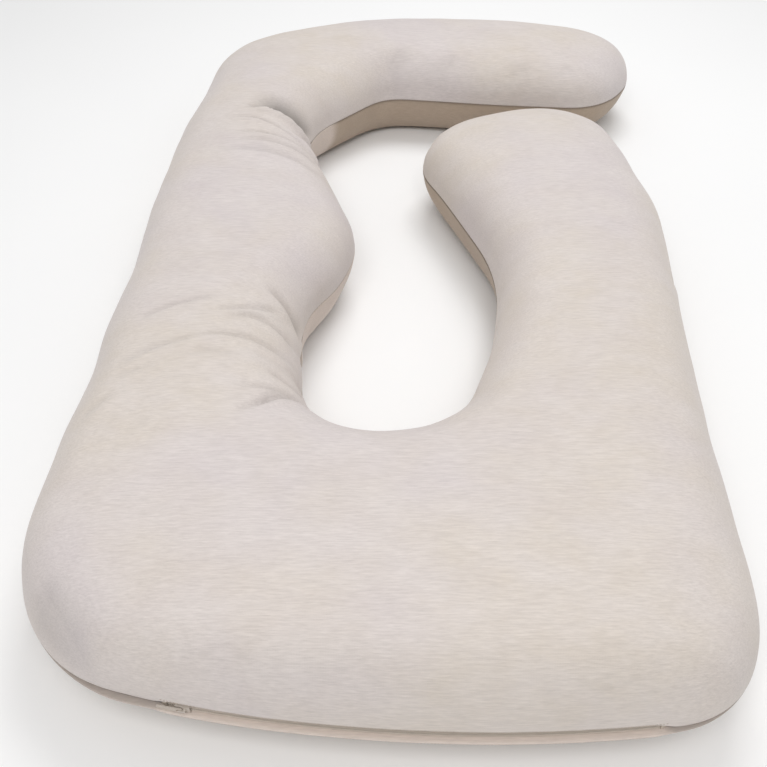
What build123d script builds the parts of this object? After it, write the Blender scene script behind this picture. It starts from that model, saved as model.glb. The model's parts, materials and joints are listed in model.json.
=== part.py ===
from build123d import *
import os
from math import cos, degrees, radians, sin

# A full-body nursing pillow, lying flat: a wide base, a long left arm with a bulge for the belly, a neck,
# a head arm that curls across the far end, and a short right arm whose rounded tip stops in front of it.
# Millimetres. X is the width, Y runs from the wide end to the head arm, and Z is up from the floor.

# ---- driving dimensions --------------------------------------------------------------------------
THICKNESS = 165  # floor to the crown of the filled pillow
SEAM_Z = 76  # where the top and the bottom panels are sewn together
TOP_ROUND = 80  # rounding of the upper edges, which leaves a short upright band at the seam
BOTTOM_ROUND = 66  # rounding of the lower edges; the flat inside it is what rests on the floor

COVER_CLOTH = 1.2
CASING_CLOTH = 1.0
COVER_TO_CASING = 0.3
CASING_TO_FILL = 0.6
SEAM_THREAD = 0.25  # thickness of an overlocked seam's thread, pressed flat behind the cloth
SEAM_THREAD_HEIGHT = 4

# The corners of the plan outline, each with the radius of the arc that rounds it.
FRONT_RADIUS = 1500
OUTLINE = [
    ((-404, -612), 165),  # wide end, left corner
    ((-22, -696), FRONT_RADIUS),  # front edge, which holds the zip
    ((325, -658), 112),  # wide end, right corner
    ((325, -378), 500),
    ((360, 72), 300),
    ((315, 382), 105),  # short arm's tip, outer side
    ((5, 282), 100),  # short arm's tip, inner side
    ((125, -48), 300),  # right side of the opening
    ((100, -198), 300),
    ((45, -348), 90),  # near end of the opening
    ((-130, -368), 90),
    ((-140, -133), 150),  # waist of the left arm
    ((-65, 12), 120),  # belly bulge
    ((-175, 312), 120),  # neck, inner side
    ((-35, 457), 70),  # corner between the neck and the head arm
    ((345, 417), 100),  # head arm's end
    ((470, 632), 110),
    ((-20, 687), 600),  # far edge
    ((-310, 592), 210),  # far left corner
    ((-355, 307), 400),  # left side
]
CORNERS = [Vector(*corner) for corner, _ in OUTLINE]
CORNER_RADII = [radius for _, radius in OUTLINE]

# Zip: a coil zip in the front edge. Angles are in degrees about the front arc's centre, from straight
# out towards -Y, positive towards +X. Depths are measured inwards from the front face of the cover.
ZIP_START, ZIP_END = -11.3, 5.9
FULL_ZIP = (ZIP_START, ZIP_END)
OUTSIDE = -1  # depth at which a cut through the cover starts, clear of its face
SLOT_HALF = 5.0  # half the height of the gap between the lips of the two panels
LIP_DEPTH = 2.8  # how far the lips are folded in, which is where the tapes are sewn on
TAPE_THICKNESS = 0.6
TAPE_EDGE = 0.6  # from the seam plane to the woven edge of each tape
TAPE_WIDTH = 14
COIL_THICKNESS = 1.4
COIL_OUTER = 3.4  # from the seam plane to the outer side of each coil
STOP_LENGTH = 3.0
THREAD_Z = 8.0  # the topstitching's distance from the seam plane
THREAD_WIDTH = 0.6
THREAD_HEIGHT = 0.3
CHANNEL_DEPTH = 7.0  # room behind the zip for the slider's lower plate
CHANNEL_HALF = 16.5
CHANNEL_END = 0.4  # degrees of channel left beyond each end of the zip
COVER_SEAM_STOP = 0.2  # degrees between the zip and the end of the cover's seam stitching
CASING_SEAM_STOP = 0.6  # the same for the casing's

# Slider and pull tab
SLIDER_LENGTH = 14
SLIDER_HALF = 4.3
PLATE = 1.2
OUTER_PLATE_DEPTH = -0.1  # the outer plate's top stands this far proud of the cover
INNER_PLATE_DEPTH = 3.7
WEB_HALF = 0.4  # the wedge between the plates, which runs between the two coils
WEB_LENGTH = 5
RAIL_INSIDE = 3.7
RAIL_DEPTH = 2.4
BAIL_LENGTH, BAIL_HEIGHT, BAIL_HALF = 7, 2.6, 1.0
PIN_RADIUS = 0.6
PIN_HOLE_RADIUS = 0.9
PIN_DEPTH = -1.3  # the pull tab's pin sits inside the bail, proud of the cover
TAB_LENGTH, TAB_HALF, TAB_THICKNESS = 24, 3.0, 1.2
WINDOW_LENGTH, WINDOW_HALF = 7, 1.5
WINDOW_START = -2  # from the hinge line, so that the window's far end clears the bail
SLIDER_REST = -10.5  # angle of the closed zip
STOP_GAP = 0.35  # degrees between the slider's middle and the near face of the top stops

# Head arm: it flexes about an upright line through the middle of the neck
FLEX_CENTRE = Vector(-228, 472)
FLEX_DIRECTION = 80  # degrees from +X, the way the arm runs where it flexes
FLEX_RADIUS = 180
FLEX_GAP = 1.5
FAR = 2000  # more than the pillow's length

# Care label, blank, folded flat behind the lower tape
LABEL_ANGLES = (2.0, 3.2)
LABEL_HEIGHTS = (-15.5, -5.0)
LABEL_DEPTHS = (3.5, 4.0)

# Closing row in the casing, where the fibre was blown in
CLOSING_ANGLES = (-6.0, -1.0)
CLOSING_HALF = 1.0

EDGE_TOLERANCE = 0.01  # for picking out edges by their length


def arc_centre(index):
    """Centre of the arc that rounds one corner of the outline."""
    corner = CORNERS[index]
    to_last = (CORNERS[index - 1] - corner).normalized()
    to_next = (CORNERS[index + 1] - corner).normalized()
    half_angle = radians(to_last.get_angle(to_next) / 2)
    return corner + (to_last + to_next).normalized() * (CORNER_RADII[index] / sin(half_angle))


FRONT_CENTRE = arc_centre(1)
FRONT_AXIS = Axis((FRONT_CENTRE.X, FRONT_CENTRE.Y, SEAM_Z), (0, 0, 1))


def front_plane(angle):
    """Upright plane across the front edge: x points outwards, y up, from the arc's centre."""
    outwards = (sin(radians(angle)), -cos(radians(angle)), 0)
    along = (cos(radians(angle)), sin(radians(angle)), 0)
    return Plane(origin=FRONT_AXIS.position, x_dir=outwards, z_dir=(-along[0], -along[1], 0))


def front_bar(depths, heights, angles):
    """A bar that follows the front edge: its depths from the cover's face, its heights from the seam
    plane and the angles of its two ends."""
    width = depths[1] - depths[0]
    height = heights[1] - heights[0]
    middle = (FRONT_RADIUS - sum(depths) / 2, sum(heights) / 2)
    with BuildPart() as bar:
        with BuildSketch(front_plane(angles[0])):
            with Locations(middle):
                Rectangle(width, height)
        revolve(axis=FRONT_AXIS, revolution_arc=angles[1] - angles[0])
    return bar.part


def outline_band(inset, bottom, height, band=None):
    """The plan outline drawn in by inset and raised: solid, or only a band that wide."""
    with BuildPart() as body:
        with BuildSketch(Plane.XY.offset(bottom)) as plan:
            with BuildLine():
                FilletPolyline(*CORNERS, radius=CORNER_RADII, close=True)
            make_face()
            if inset:
                offset(amount=-inset, mode=Mode.REPLACE)
            if band:
                offset(plan.face(), amount=-band, mode=Mode.SUBTRACT)
        extrude(amount=height)
    return body.part


def pillow_layer(inset, channel=0):
    """Everything inside one layer of the pillow, rounded above and below. A layer inside the cover
    has a channel along the zip, as deep as channel says."""
    with BuildPart() as layer:
        add(outline_band(inset, inset, THICKNESS - 2 * inset))
        fillet(layer.edges().group_by(Axis.Z)[-1], TOP_ROUND - inset)
        fillet(layer.edges().group_by(Axis.Z)[0], BOTTOM_ROUND - inset)
        if channel:
            reach = CHANNEL_HALF + channel - CHANNEL_DEPTH
            margin = degrees((reach - CHANNEL_HALF) / FRONT_RADIUS) + CHANNEL_END
            angles = (ZIP_START - margin, ZIP_END + margin)
            add(front_bar((OUTSIDE, channel), (-reach, reach), angles), mode=Mode.SUBTRACT)
    return layer.part


SEAM_PLANE = Plane.XY.offset(SEAM_Z)
CASING_INSET = COVER_CLOTH + COVER_TO_CASING
FILL_INSET = CASING_INSET + CASING_CLOTH + CASING_TO_FILL

cover_outside = pillow_layer(0)
cover_inside = pillow_layer(COVER_CLOTH)
casing_outside = pillow_layer(CASING_INSET, CHANNEL_DEPTH)
casing_inside = pillow_layer(CASING_INSET + CASING_CLOTH, CHANNEL_DEPTH + CASING_CLOTH)
fill_outside = pillow_layer(FILL_INSET, CHANNEL_DEPTH + CASING_CLOTH + CASING_TO_FILL)
zip_slot = front_bar((OUTSIDE, CHANNEL_DEPTH), (-SLOT_HALF, SLOT_HALF), FULL_ZIP)


# ---- removable cover -----------------------------------------------------------------------------
def lip(side):
    """A panel's folded edge along the zip, from its face back to the tape."""
    heights = sorted((side * SLOT_HALF, side * (SLOT_HALF + COVER_CLOTH)))
    return front_bar((COVER_CLOTH / 2, LIP_DEPTH), heights, FULL_ZIP)


upper_lip = lip(1)
lower_lip = lip(-1)

with BuildPart() as cover_top_panel:
    add(cover_outside)
    add(cover_inside, mode=Mode.SUBTRACT)
    split(bisect_by=SEAM_PLANE, keep=Keep.TOP)
    add(zip_slot, mode=Mode.SUBTRACT)
    add(upper_lip)
cover_top_panel.part.label = "cover_top_panel"

with BuildPart() as cover_bottom_panel:
    add(cover_outside)
    add(cover_inside, mode=Mode.SUBTRACT)
    split(bisect_by=SEAM_PLANE, keep=Keep.BOTTOM)
    add(zip_slot, mode=Mode.SUBTRACT)
    add(lower_lip)
cover_bottom_panel.part.label = "cover_bottom_panel"

SEAM_THREAD_BOTTOM = SEAM_Z - SEAM_THREAD_HEIGHT / 2
cover_seam_band = outline_band(COVER_CLOTH, SEAM_THREAD_BOTTOM, SEAM_THREAD_HEIGHT, SEAM_THREAD)
seam_break = front_bar(
    (OUTSIDE, CHANNEL_DEPTH),
    (-SLOT_HALF, SLOT_HALF),
    (ZIP_START - COVER_SEAM_STOP, ZIP_END + COVER_SEAM_STOP),
)

with BuildPart() as cover_seam_stitching:
    add(cover_seam_band)
    add(seam_break, mode=Mode.SUBTRACT)
cover_seam_stitching.part.label = "cover_seam_stitching"

with BuildPart() as care_label:
    add(front_bar(LABEL_DEPTHS, LABEL_HEIGHTS, LABEL_ANGLES))
care_label.part.label = "care_label"

# ---- zip -----------------------------------------------------------------------------------------
TAPE_DEPTHS = (LIP_DEPTH, LIP_DEPTH + TAPE_THICKNESS)
COIL_DEPTHS = (LIP_DEPTH - COIL_THICKNESS, LIP_DEPTH)
STOP_ANGLE = degrees(STOP_LENGTH / FRONT_RADIUS)
COIL_ANGLES = (ZIP_START + 2 * STOP_ANGLE, ZIP_END - 2 * STOP_ANGLE)

with BuildPart() as zip_upper_tape:
    add(front_bar(TAPE_DEPTHS, (TAPE_EDGE, TAPE_WIDTH), FULL_ZIP))
zip_upper_tape.part.label = "zip_upper_tape"

with BuildPart() as zip_lower_tape:
    add(front_bar(TAPE_DEPTHS, (-TAPE_WIDTH, -TAPE_EDGE), FULL_ZIP))
zip_lower_tape.part.label = "zip_lower_tape"

with BuildPart() as zip_upper_coil:
    add(front_bar(COIL_DEPTHS, (TAPE_EDGE, COIL_OUTER), COIL_ANGLES))
zip_upper_coil.part.label = "zip_upper_coil"

with BuildPart() as zip_lower_coil:
    add(front_bar(COIL_DEPTHS, (-COIL_OUTER, -TAPE_EDGE), COIL_ANGLES))
zip_lower_coil.part.label = "zip_lower_coil"

top_stop_angles = (COIL_ANGLES[0] - STOP_ANGLE, COIL_ANGLES[0])
upper_top_stop = front_bar(COIL_DEPTHS, (TAPE_EDGE, COIL_OUTER), top_stop_angles)
lower_top_stop = front_bar(COIL_DEPTHS, (-COIL_OUTER, -TAPE_EDGE), top_stop_angles)

with BuildPart() as zip_top_stops:
    add(upper_top_stop)
    add(lower_top_stop)
zip_top_stops.part.label = "zip_top_stops"

bottom_stop_angles = (COIL_ANGLES[1], COIL_ANGLES[1] + STOP_ANGLE)

with BuildPart() as zip_bottom_stop:
    add(front_bar(COIL_DEPTHS, (-COIL_OUTER, COIL_OUTER), bottom_stop_angles))
zip_bottom_stop.part.label = "zip_bottom_stop"

THREAD_DEPTHS = (-THREAD_HEIGHT, 0)

with BuildPart() as zip_upper_stitching:
    add(front_bar(THREAD_DEPTHS, (THREAD_Z, THREAD_Z + THREAD_WIDTH), FULL_ZIP))
zip_upper_stitching.part.label = "zip_upper_stitching"

with BuildPart() as zip_lower_stitching:
    add(front_bar(THREAD_DEPTHS, (-THREAD_Z - THREAD_WIDTH, -THREAD_Z), FULL_ZIP))
zip_lower_stitching.part.label = "zip_lower_stitching"

# The slider's own plane: x outwards from the front centre, y up, z back along the zip towards -X.
slider_plane = front_plane(SLIDER_REST)


def slider_block(depths, heights, length, shift=0):
    """A straight block on the slider, with its middle shift mm towards the closed end."""
    centre = (FRONT_RADIUS - sum(depths) / 2, sum(heights) / 2)
    with BuildPart() as block:
        with BuildSketch(slider_plane.offset(shift)):
            with Locations(centre):
                Rectangle(depths[1] - depths[0], heights[1] - heights[0])
        extrude(amount=length / 2, both=True)
    return block.part


def upright_cylinder(radius, half_height):
    """A cylinder along Z on the pull tab's hinge line."""
    with BuildPart() as cylinder:
        with BuildSketch(Plane.XY.offset(SEAM_Z - half_height)):
            with Locations((pin_place.X, pin_place.Y)):
                Circle(radius)
        extrude(amount=2 * half_height)
    return cylinder.part


def edges_as_long_as(body, length):
    """The edges of that length: a plate's upright corners, when length is its thickness."""
    return body.edges().filter_by(lambda edge: abs(edge.length - length) < EDGE_TOLERANCE)


pin_place = slider_plane.from_local_coords(Vector(FRONT_RADIUS - PIN_DEPTH, 0, 0))
SLIDER_HEIGHTS = (-SLIDER_HALF, SLIDER_HALF)
OUTER_PLATE_DEPTHS = (OUTER_PLATE_DEPTH, OUTER_PLATE_DEPTH + PLATE)
INNER_PLATE_DEPTHS = (INNER_PLATE_DEPTH, INNER_PLATE_DEPTH + PLATE)
WEB_DEPTHS = (OUTER_PLATE_DEPTH, INNER_PLATE_DEPTH + PLATE)
WEB_SHIFT = (SLIDER_LENGTH - WEB_LENGTH) / 2
BAIL_DEPTHS = (OUTER_PLATE_DEPTH - BAIL_HEIGHT, OUTER_PLATE_DEPTH)

outer_plate = slider_block(OUTER_PLATE_DEPTHS, SLIDER_HEIGHTS, SLIDER_LENGTH)
inner_plate = slider_block(INNER_PLATE_DEPTHS, SLIDER_HEIGHTS, SLIDER_LENGTH)
web = slider_block(WEB_DEPTHS, (-WEB_HALF, WEB_HALF), WEB_LENGTH, WEB_SHIFT)
upper_rail = slider_block((OUTER_PLATE_DEPTH, RAIL_DEPTH), (RAIL_INSIDE, SLIDER_HALF), SLIDER_LENGTH)
lower_rail = slider_block((OUTER_PLATE_DEPTH, RAIL_DEPTH), (-SLIDER_HALF, -RAIL_INSIDE), SLIDER_LENGTH)
bail = slider_block(BAIL_DEPTHS, (-BAIL_HALF, BAIL_HALF), BAIL_LENGTH)
pin_hole = upright_cylinder(PIN_HOLE_RADIUS, 2 * BAIL_HALF)

with BuildPart() as zip_slider:
    add(outer_plate)
    fillet(edges_as_long_as(zip_slider, PLATE), PLATE)
    add(inner_plate)
    add(web)
    add(upper_rail)
    add(lower_rail)
    add(bail)
    add(pin_hole, mode=Mode.SUBTRACT)
zip_slider.part.label = "zip_slider"

TAB_DEPTHS = (PIN_DEPTH - TAB_THICKNESS / 2, PIN_DEPTH + TAB_THICKNESS / 2)
tab_plate = slider_block(TAB_DEPTHS, (-TAB_HALF, TAB_HALF), TAB_LENGTH, TAB_LENGTH / 2)
tab_window = slider_block(
    TAB_DEPTHS, (-WINDOW_HALF, WINDOW_HALF), WINDOW_LENGTH, WINDOW_START + WINDOW_LENGTH / 2
)
tab_pin = upright_cylinder(PIN_RADIUS, TAB_HALF)

with BuildPart() as zip_pull_tab:
    add(tab_plate)
    fillet(edges_as_long_as(zip_pull_tab, TAB_THICKNESS), TAB_HALF / 2)
    add(tab_window, mode=Mode.SUBTRACT)
    add(tab_pin)
zip_pull_tab.part.label = "zip_pull_tab"

# ---- inner casing and its fibre ------------------------------------------------------------------
with BuildPart() as casing_top_panel:
    add(casing_outside)
    add(casing_inside, mode=Mode.SUBTRACT)
    split(bisect_by=SEAM_PLANE, keep=Keep.TOP)
casing_top_panel.part.label = "casing_top_panel"

with BuildPart() as casing_bottom_panel:
    add(casing_outside)
    add(casing_inside, mode=Mode.SUBTRACT)
    split(bisect_by=SEAM_PLANE, keep=Keep.BOTTOM)
casing_bottom_panel.part.label = "casing_bottom_panel"

casing_seam_band = outline_band(
    CASING_INSET + CASING_CLOTH, SEAM_THREAD_BOTTOM, SEAM_THREAD_HEIGHT, SEAM_THREAD
)
casing_seam_break = front_bar(
    (OUTSIDE, CHANNEL_DEPTH + 2 * CASING_CLOTH),
    (-CHANNEL_HALF, CHANNEL_HALF),
    (ZIP_START - CASING_SEAM_STOP, ZIP_END + CASING_SEAM_STOP),
)
CLOSING_DEPTHS = (CHANNEL_DEPTH - THREAD_HEIGHT, CHANNEL_DEPTH)

with BuildPart() as casing_seam_stitching:
    add(casing_seam_band)
    add(casing_seam_break, mode=Mode.SUBTRACT)
casing_seam_stitching.part.label = "casing_seam_stitching"

with BuildPart() as casing_closing_stitching:
    add(front_bar(CLOSING_DEPTHS, (-CLOSING_HALF, CLOSING_HALF), CLOSING_ANGLES))
casing_closing_stitching.part.label = "casing_closing_stitching"


def head_arm_zone(radius):
    """All that moves with the head arm: beyond the flex line, with a round knuckle of that radius."""
    flex_plane = Plane(
        origin=(FLEX_CENTRE.X, FLEX_CENTRE.Y, 0),
        x_dir=(cos(radians(FLEX_DIRECTION)), sin(radians(FLEX_DIRECTION)), 0),
        z_dir=(0, 0, 1),
    )
    with BuildPart() as zone:
        with BuildSketch(flex_plane):
            with Locations((FAR / 2, 0)):
                Rectangle(FAR, 2 * FAR)
            Circle(radius)
        extrude(amount=THICKNESS)
    return zone.part


body_zone_cut = head_arm_zone(FLEX_RADIUS + FLEX_GAP)
head_arm_keep = head_arm_zone(FLEX_RADIUS)

with BuildPart() as body_fill:
    add(fill_outside)
    add(body_zone_cut, mode=Mode.SUBTRACT)
body_fill.part.label = "body_fill"

with BuildPart() as head_arm_fill:
    add(fill_outside)
    add(head_arm_keep, mode=Mode.INTERSECT)
head_arm_fill.part.label = "head_arm_fill"

# ---- files ---------------------------------------------------------------------------------------
PIECES = [
    cover_top_panel,
    cover_bottom_panel,
    cover_seam_stitching,
    care_label,
    zip_upper_tape,
    zip_lower_tape,
    zip_upper_coil,
    zip_lower_coil,
    zip_top_stops,
    zip_bottom_stop,
    zip_upper_stitching,
    zip_lower_stitching,
    zip_slider,
    zip_pull_tab,
    casing_top_panel,
    casing_bottom_panel,
    casing_seam_stitching,
    casing_closing_stitching,
    body_fill,
    head_arm_fill,
]
os.makedirs("parts", exist_ok=True)
for piece in PIECES:
    export_step(piece.part, f"parts/{piece.part.label}.step")
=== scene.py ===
import json
from math import asin, cos, degrees, pi, radians, sin

import bmesh
import bpy
import numpy as np
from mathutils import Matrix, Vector, noise
from mathutils.bvhtree import BVHTree
from mathutils.geometry import delaunay_2d_cdt


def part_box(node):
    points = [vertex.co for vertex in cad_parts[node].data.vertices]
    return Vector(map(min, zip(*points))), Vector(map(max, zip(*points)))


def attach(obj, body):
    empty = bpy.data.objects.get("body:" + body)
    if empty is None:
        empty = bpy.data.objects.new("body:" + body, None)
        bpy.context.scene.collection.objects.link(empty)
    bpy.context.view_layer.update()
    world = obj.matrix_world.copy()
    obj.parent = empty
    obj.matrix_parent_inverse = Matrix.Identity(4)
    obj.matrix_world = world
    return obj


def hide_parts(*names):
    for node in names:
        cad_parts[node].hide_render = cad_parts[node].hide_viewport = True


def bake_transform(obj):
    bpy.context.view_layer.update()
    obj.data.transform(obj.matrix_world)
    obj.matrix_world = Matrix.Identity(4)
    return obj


# The nursing pillow's looks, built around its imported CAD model. Metres throughout.
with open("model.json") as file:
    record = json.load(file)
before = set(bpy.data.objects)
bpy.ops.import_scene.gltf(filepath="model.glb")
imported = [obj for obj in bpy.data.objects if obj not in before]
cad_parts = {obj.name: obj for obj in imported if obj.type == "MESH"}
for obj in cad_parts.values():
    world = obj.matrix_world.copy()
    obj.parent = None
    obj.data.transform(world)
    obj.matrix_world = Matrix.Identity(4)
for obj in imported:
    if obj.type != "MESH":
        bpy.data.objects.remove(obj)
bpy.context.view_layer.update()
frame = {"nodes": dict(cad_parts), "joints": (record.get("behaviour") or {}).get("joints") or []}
nodes = frame["nodes"]
joints = {joint["name"]: joint for joint in frame["joints"]}

# ---- places read from the frame ----
seam_low, seam_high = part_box("cover_seam_stitching")
SEAM_Z = (seam_low.z + seam_high.z) / 2
CROWN_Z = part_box("cover_top_panel")[1].z
LIP_TOP_CLEAR = 0.0078  # a height over the seam that is above the zip's lips and still on the upright band
FRONT_CENTRE = np.array(joints["zip_slide"]["pos_m"][:2])
tape_low, tape_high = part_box("zip_upper_tape")


def front_angle(xy):
    """Angle about the front arc's centre, from straight out towards -Y, positive towards +X."""
    away = np.asarray(xy) - FRONT_CENTRE
    return np.arctan2(away[..., 0], -away[..., 1])


# ---- plan outline ----
SPACING = 0.0072  # along the outline and between the cover's rings


def smoothed(loop, rounds):
    """The loop with each point drawn towards its neighbours, so many times over."""
    for _ in range(rounds):
        loop = (np.roll(loop, 1, 0) + 2 * loop + np.roll(loop, -1, 0)) / 4
    return loop


def resample(loop, spacing, smoothing=0):
    """Even points along a closed loop, with its facets rounded off."""
    closed = np.vstack([loop, loop[:1]])
    run = np.r_[0, np.cumsum(np.linalg.norm(np.diff(closed, axis=0), axis=1))]
    count = int(round(run[-1] / spacing))
    at = np.linspace(0, run[-1], count, endpoint=False)
    even = np.c_[np.interp(at, run, closed[:, 0]), np.interp(at, run, closed[:, 1])]
    return smoothed(even, smoothing)


def cut_outline(name, height):
    """The outer loop of a node cut at a height, anticlockwise seen from above."""
    work = bmesh.new()
    work.from_mesh(nodes[name].data)
    bmesh.ops.remove_doubles(work, verts=work.verts[:], dist=1e-5)
    everything = work.verts[:] + work.edges[:] + work.faces[:]
    cut = bmesh.ops.bisect_plane(work, geom=everything, plane_co=(0, 0, height), plane_no=(0, 0, 1))
    beside = {}
    for edge in cut["geom_cut"]:
        if isinstance(edge, bmesh.types.BMEdge):
            for one, other in (edge.verts, reversed(edge.verts)):
                beside.setdefault(one, []).append(other)
    loops = []
    left = set(beside)
    while left:
        walk = [min(left, key=lambda vert: vert.index)]
        left.discard(walk[0])
        while True:
            onward = [vert for vert in beside[walk[-1]] if vert in left]
            if not onward:
                break
            walk.append(onward[0])
            left.discard(onward[0])
        loops.append(np.array([vert.co[:2] for vert in walk]))
    work.free()
    outer = max(loops, key=lambda loop: np.ptp(loop[:, 0]))
    area = np.sum(outer[:, 0] * np.roll(outer[:, 1], -1) - outer[:, 1] * np.roll(outer[:, 0], -1)) / 2
    return outer if area > 0 else outer[::-1]


def inward(loop):
    """Unit normals that point into the loop."""
    along = np.roll(loop, -1, 0) - np.roll(loop, 1, 0)
    along /= np.linalg.norm(along, axis=1)[:, None]
    return np.c_[-along[:, 1], along[:, 0]]


# Where the filling pushes the edge a little out, or leaves it a little slack: (place, reach, push).
SWELLS = [
    ((-0.365, 0.200), 0.120, 0.006),
    ((-0.330, 0.530), 0.110, 0.012),
    ((-0.360, -0.080), 0.060, -0.004),
    ((-0.375, -0.270), 0.070, -0.006),
    ((0.370, 0.020), 0.100, 0.004),
    ((0.400, -0.500), 0.080, -0.008),
    ((0.370, -0.600), 0.070, -0.008),
    ((0.400, 0.540), 0.070, 0.006),
    ((0.150, 0.360), 0.100, 0.006),
    ((0.040, 0.240), 0.060, 0.008),
    ((-0.120, -0.300), 0.050, 0.004),
    ((-0.100, -0.070), 0.045, 0.007),
]


def swollen(loop):
    """The outline with its swells."""
    push = sum(by * np.exp(-(((loop - place) / reach) ** 2).sum(1)) for place, reach, by in SWELLS)
    return loop - inward(loop) * push[:, None]


outline = swollen(resample(cut_outline("cover_top_panel", SEAM_Z + LIP_TOP_CLEAR), SPACING, 3))


# ---- filled heights: the shape that an even pressure gives a skin over this outline ----
GRID = 0.006
SOLVER_ROUNDS = 900
SOLVER_LIMIT = 1e-24
FAR = 1e9


def inside(points, loop):
    """Which points lie inside the loop."""
    x, y = points[:, 0], points[:, 1]
    hit = np.zeros(len(points), bool)
    for (x0, y0), (x1, y1) in zip(loop, np.roll(loop, -1, 0)):
        if y0 != y1:
            crosses = (y0 > y) != (y1 > y)
            hit ^= crosses & (x < (x1 - x0) * (y - y0) / (y1 - y0) + x0)
    return hit


def pressed_skin(loop):
    """Solves Laplace(u) = -1 inside the loop, by conjugate gradients: u and its grid."""
    low = loop.min(0) - 3 * GRID
    count = np.ceil((loop.max(0) + 3 * GRID - low) / GRID).astype(int)
    xs, ys = low[0] + GRID * np.arange(count[0]), low[1] + GRID * np.arange(count[1])
    px, py = np.meshgrid(xs, ys, indexing="ij")
    mask = inside(np.c_[px.ravel(), py.ravel()], loop).reshape(px.shape)

    def apply(field):
        spread = 4 * field
        spread[1:] -= field[:-1]
        spread[:-1] -= field[1:]
        spread[:, 1:] -= field[:, :-1]
        spread[:, :-1] -= field[:, 1:]
        return spread * mask

    u = np.zeros(px.shape)
    residue = mask * GRID**2
    step = residue.copy()
    size = (residue**2).sum()
    for _ in range(SOLVER_ROUNDS):
        through = apply(step)
        pace = size / (step * through).sum()
        u += pace * step
        residue = residue - pace * through
        new_size = (residue**2).sum()
        if new_size < SOLVER_LIMIT:
            break
        step = residue + step * (new_size / size)
        size = new_size
    return low, u


def sample(field, low, points):
    """Bilinear reading of a grid at points."""
    at = (points - low) / GRID
    cell = np.clip(np.floor(at).astype(int), 0, np.array(field.shape) - 2)
    part = at - cell
    i, j = cell.T
    a, b = part.T
    return (
        field[i, j] * (1 - a) * (1 - b)
        + field[i + 1, j] * a * (1 - b)
        + field[i, j + 1] * (1 - a) * b
        + field[i + 1, j + 1] * a * b
    )


skin_low, skin = pressed_skin(outline)


# ---- the cover as one closed skin ----
CROWN = 0.080  # the filled height over the seam of an arm 240 mm wide
CROWN_CAP = CROWN_Z - SEAM_Z + 0.003  # the base is wider, and this is as high as it gets
CROWN_WIDTH = 0.120
CROWN_POWER = 0.62
SOFT_CAP = 0.80  # share of the cap from which the height grows ever more slowly
SAG = 1.16  # below the seam the skin would hang lower than it stands above it, if the floor weren't there
RINGS = 13  # rings of faces from the seam up to where the skin turns level
EDGE_DEPTH = 0.050  # how far in the last ring lies
RING_TURN = 0.98  # of a quarter turn, which the rings are spread over
FIRST_SMOOTHED = 3  # rings from here on are smoothed, so that they don't cross in the corners
INNER_SPACING = 1.12  # side of the triangles inside the rings, as a share of SPACING
ROW_HEIGHT = 0.866  # of the triangles, as a share of their side
RING_CLEARANCE = 0.62  # from the last ring to the nearest of them, as a share of their side


def crown(points):
    """Filled height over the seam plane, at points of the plan."""
    width = np.sqrt(2 * np.clip(sample(skin, skin_low, points), 0, None))
    height = CROWN * (width / CROWN_WIDTH) ** CROWN_POWER
    soft = CROWN_CAP * SOFT_CAP
    over = np.clip(height - soft, 0, None)
    room = CROWN_CAP - soft
    return np.where(height > soft, soft + room * (1 - np.exp(-over / room)), height)


def plan_mesh():
    """Rings drawn in from the outline, and triangles inside them. Returns the plan points, each ring's
    depth, the faces and the number of points on a ring."""
    count = len(outline)
    normals = inward(outline)
    turn = np.linspace(0, pi / 2, RINGS + 1)[:-1] * RING_TURN
    depths = EDGE_DEPTH * (1 - np.cos(turn)) / (1 - np.cos(turn[-1]))
    rings = [outline + normals * depth for depth in depths]
    rings[FIRST_SMOOTHED:] = [smoothed(ring, 2) for ring in rings[FIRST_SMOOTHED:]]
    last = rings[-1]
    pitch = SPACING * INNER_SPACING
    low, high = last.min(0), last.max(0)
    rows = int((high[1] - low[1]) / (pitch * ROW_HEIGHT)) + 1
    columns = int((high[0] - low[0]) / pitch) + 2
    grid = np.array(
        [
            (low[0] + (column + 0.5 * (row % 2)) * pitch, low[1] + row * pitch * ROW_HEIGHT)
            for row in range(rows)
            for column in range(columns)
        ]
    )
    grid = grid[inside(grid, last)]
    gap = np.full(len(grid), FAR)
    for point in last:
        gap = np.minimum(gap, ((grid - point) ** 2).sum(1))
    grid = grid[gap > (pitch * RING_CLEARANCE) ** 2]
    points = [Vector(p) for p in last] + [Vector(p) for p in grid]
    edges = [(i, (i + 1) % count) for i in range(count)]
    verts, _, faces, origin, _, _ = delaunay_2d_cdt(points, edges, [], 1, 1e-7)
    assert len(verts) == len(points), "the triangulation added points"
    order = [source[0] for source in origin]
    first = count * (len(rings) - 1)
    everything = np.vstack(rings[:-1] + [np.array([point[:] for point in points])])
    flat = []
    for start in range(0, first, count):
        for i in range(count):
            j = (i + 1) % count
            flat.append((start + i, start + j, start + count + j, start + count + i))
    flat += [tuple(first + order[i] for i in face) for face in faces]
    return everything, depths, flat, count


plan, ring_depths, plan_faces, around = plan_mesh()
EDGE_POWER = 0.42
UNDER_POWER = (1.05, 0.55)  # how soon the lower skin tucks under, at the front and behind it
FRONT_REACH = (-0.62, -0.40)  # the front gives way to the rest over this stretch of Y
EDGE_SLOPE = 0.22  # how steeply the skin still climbs where the rings end
FLATTENING = 10  # how sharply the lower skin turns onto the floor


def rising(share, power):
    """Height over the rings, as a share of the last one's, at a share of its depth."""
    return (1 - EDGE_SLOPE) * (1 - (1 - share) ** 2) ** power + EDGE_SLOPE * share


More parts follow.
